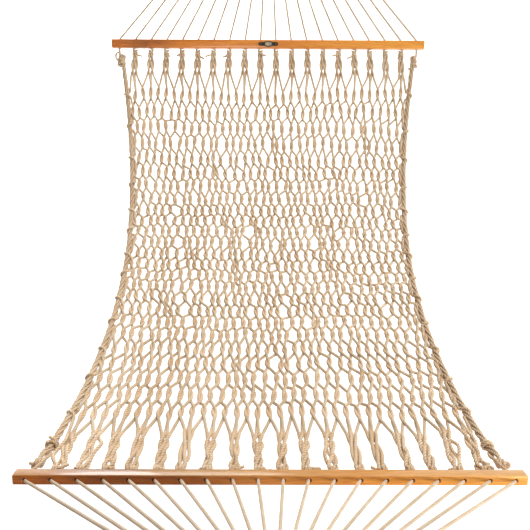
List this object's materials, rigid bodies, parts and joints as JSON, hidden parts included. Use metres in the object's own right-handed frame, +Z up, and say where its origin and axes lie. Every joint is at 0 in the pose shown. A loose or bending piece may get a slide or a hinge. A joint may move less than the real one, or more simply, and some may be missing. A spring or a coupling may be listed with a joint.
{
  "type": "rope hammock",
  "caption": "Rope net hammock with drilled oak spreader bars, fanned lines gathered into woven clews on steel rings, and an S-hook at each end.",
  "frame": {"origin": "middle of the hanging line, the axis through the two hook bearings on which the hammock swings", "axes": "+Y along the hanging line from the foot end to the head end, +Z up, +X across the bed"},
  "size_m": [1.397, 3.0094, 0.9913],
  "materials": {
    "rope": "matt three-strand laid rope",
    "oak": "varnished, satin",
    "zinc": "zinc plated",
    "plate": "dark bronze lacquer",
    "pin_brass": "aged"
  },
  "bodies": {
    "hooks": {"head_hook": "zinc", "foot_hook": "zinc"},
    "hammock": {"net_bed": "rope", "left_edge_cord": "rope", "right_edge_cord": "rope", "head_clew": "rope", "foot_clew": "rope", "head_line_01": "rope", "head_line_02": "rope", "head_line_03": "rope", "head_line_04": "rope", "head_line_05": "rope", "head_line_06": "rope", "head_line_07": "rope", "head_line_08": "rope", "head_line_09": "rope", "head_line_10": "rope", "head_line_11": "rope", "head_line_12": "rope", "head_line_13": "rope", "head_line_14": "rope", "head_line_15": "rope", "head_line_16": "rope", "head_line_17": "rope", "head_line_18": "rope", "head_line_19": "rope", "head_line_20": "rope", "foot_line_01": "rope", "foot_line_02": "rope", "foot_line_03": "rope", "foot_line_04": "rope", "foot_line_05": "rope", "foot_line_06": "rope", "foot_line_07": "rope", "foot_line_08": "rope", "foot_line_09": "rope", "foot_line_10": "rope", "foot_line_11": "rope", "foot_line_12": "rope", "foot_line_13": "rope", "foot_line_14": "rope", "foot_line_15": "rope", "foot_line_16": "rope", "foot_line_17": "rope", "foot_line_18": "rope", "foot_line_19": "rope", "foot_line_20": "rope"},
    "head_bar": {"head_spreader_bar": "oak", "nameplate": "plate", "left_plate_pin": "pin_brass", "right_plate_pin": "pin_brass"},
    "foot_bar": {"foot_spreader_bar": "oak"},
    "head_ring": {"head_ring": "zinc"},
    "foot_ring": {"foot_ring": "zinc"}
  },
  "joints": [
    {"name": "swing", "type": "hinge", "parent": "hooks", "child": "hammock", "pos_m": [0, 0, 0], "axis": [0, 1, 0], "range_deg": [-25, 25]},
    {"name": "head_bar_rock", "type": "hinge", "parent": "hammock", "child": "head_bar", "pos_m": [0, 0.975, -0.61453], "axis": [1, 0, 0], "range_deg": [-6, 6], "stiffness_Nm_per_rad": 1.1},
    {"name": "foot_bar_rock", "type": "hinge", "parent": "hammock", "child": "foot_bar", "pos_m": [0, -0.975, -0.61453], "axis": [1, 0, 0], "range_deg": [-6, 6], "stiffness_Nm_per_rad": 1.1},
    {"name": "head_ring_turn", "type": "hinge", "parent": "hammock", "child": "head_ring", "pos_m": [0, 1.436, -0.02753], "axis": [0, -0.7865, 0.6176], "continuous": true},
    {"name": "foot_ring_turn", "type": "hinge", "parent": "hammock", "child": "foot_ring", "pos_m": [0, -1.436, -0.02753], "axis": [0, 0.7865, 0.6176], "continuous": true}
  ]
}
